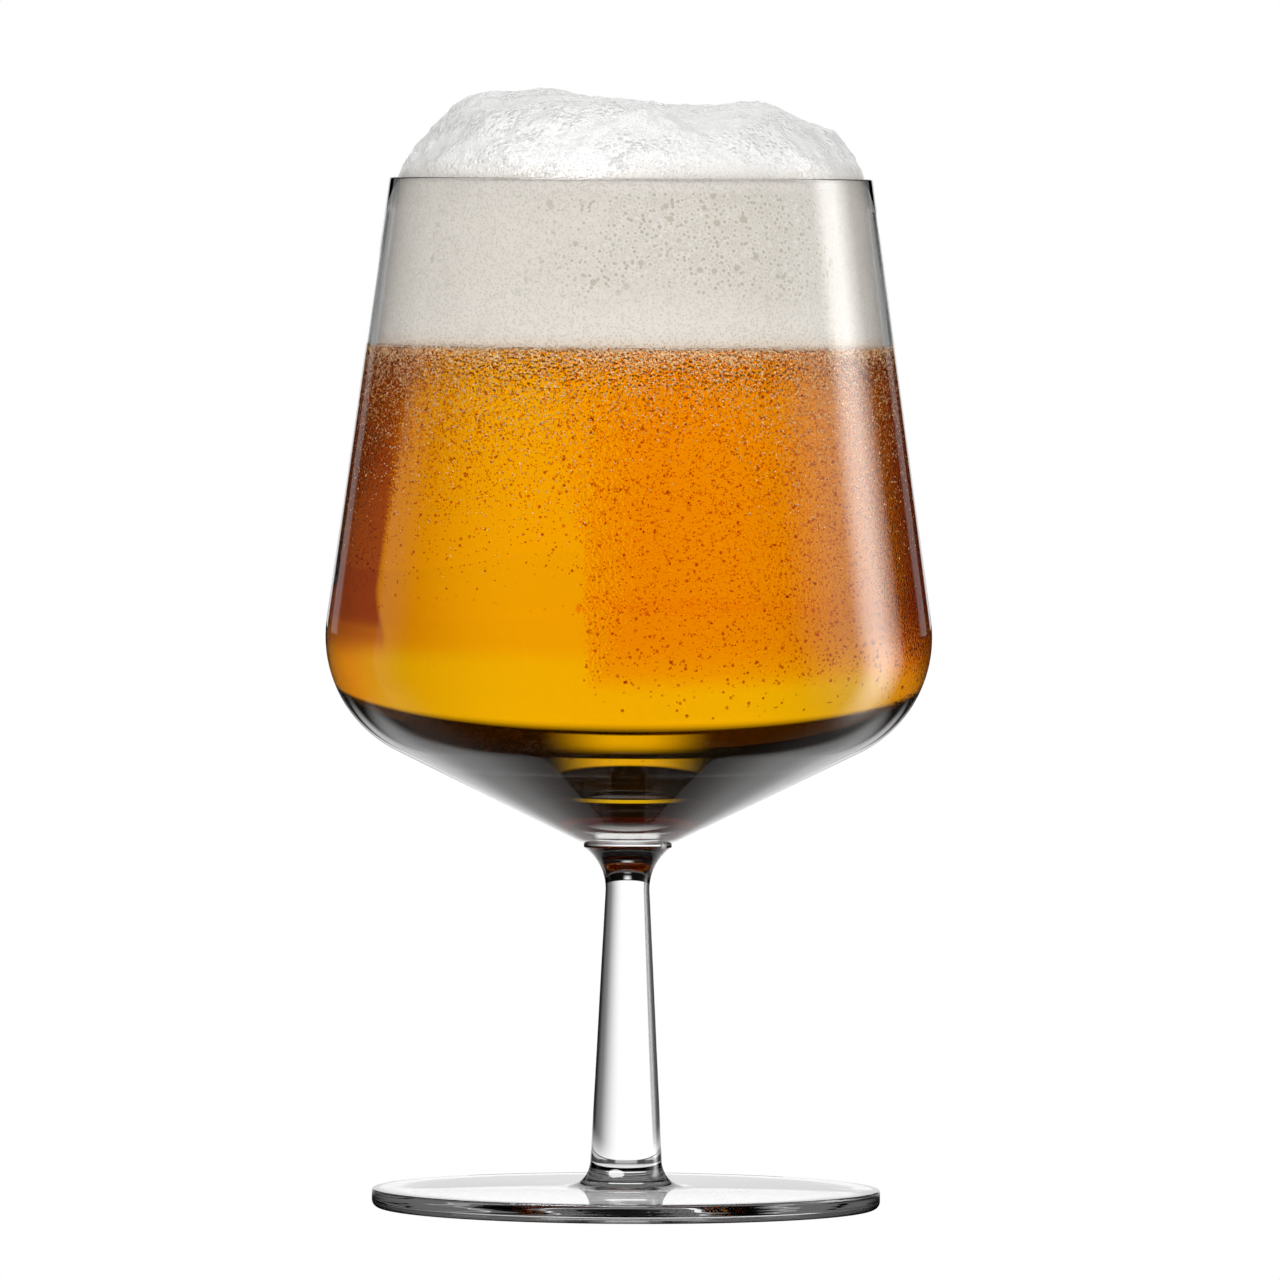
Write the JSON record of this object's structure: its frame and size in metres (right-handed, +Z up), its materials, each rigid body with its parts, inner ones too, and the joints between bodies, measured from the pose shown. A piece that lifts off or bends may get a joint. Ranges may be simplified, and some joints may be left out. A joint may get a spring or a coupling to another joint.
{
  "type": "stemmed beer glass",
  "caption": "Clear stemmed beer glass with a wide rounded bowl that narrows to its mouth, on a slim stem and a flat round foot, poured with golden beer and a domed foam head.",
  "frame": {"origin": "on the table, under the middle of the foot", "axes": "+Z up along the stem; the glass is round, and the view in the picture looks along +Y with +X to the right"},
  "size_m": [0.0954, 0.0954, 0.1763],
  "materials": {
    "clear_glass": "polished clear soda-lime glass",
    "beer": "clear golden lager with fine bubbles",
    "foam": "off-white wet beer foam"
  },
  "bodies": {
    "root": {"foot": "clear_glass", "stem": "clear_glass", "bowl": "clear_glass", "beer": "beer", "foam_head": "foam"}
  },
  "joints": []
}
